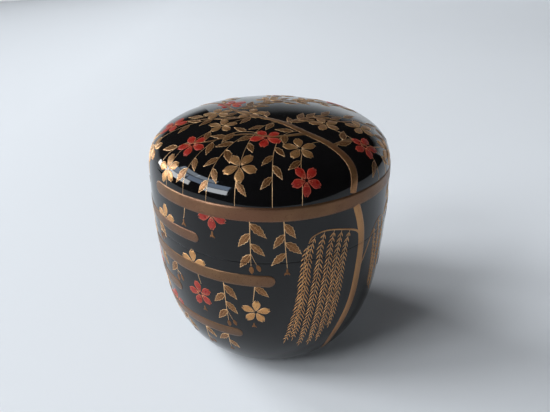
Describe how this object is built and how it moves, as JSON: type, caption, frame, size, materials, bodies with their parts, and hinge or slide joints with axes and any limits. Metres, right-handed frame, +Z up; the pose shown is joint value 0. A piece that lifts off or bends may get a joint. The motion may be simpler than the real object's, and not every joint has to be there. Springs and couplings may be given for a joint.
{
  "type": "lidded tea caddy",
  "caption": "Round lacquered tea caddy: turned wooden body with a standing collar, and a domed lift-off lid that slides over the collar.",
  "frame": {"origin": "middle of the foot's underside", "axes": "+Z up along the axis of turning, towards the lid's crown; -Y towards the front of the decoration, +X to the right of it"},
  "size_m": [0.066, 0.066, 0.0685],
  "materials": {
    "wood": "turned, fine grain, matte",
    "black_lacquer": "polished black lacquer, mirror gloss",
    "inner_lacquer": "black lacquer, soft gloss",
    "gold_decoration": "sprinkled gold powder, satin",
    "pale_gold_decoration": "thin sprinkled gold powder, dull",
    "red_decoration": "red lacquer with gold veins, satin"
  },
  "bodies": {
    "body": {"body_core": "wood", "body_outer_lacquer": "black_lacquer", "body_inner_lacquer": "inner_lacquer", "base_lacquer": "black_lacquer"},
    "lid": {"lid_core": "wood", "lid_outer_lacquer": "black_lacquer", "lid_inner_lacquer": "inner_lacquer"}
  },
  "joints": [
    {"name": "lid_lift", "type": "slide", "parent": "body", "child": "lid", "axis": [0, 0, 1], "range_m": [0, 0.08]}
  ]
}
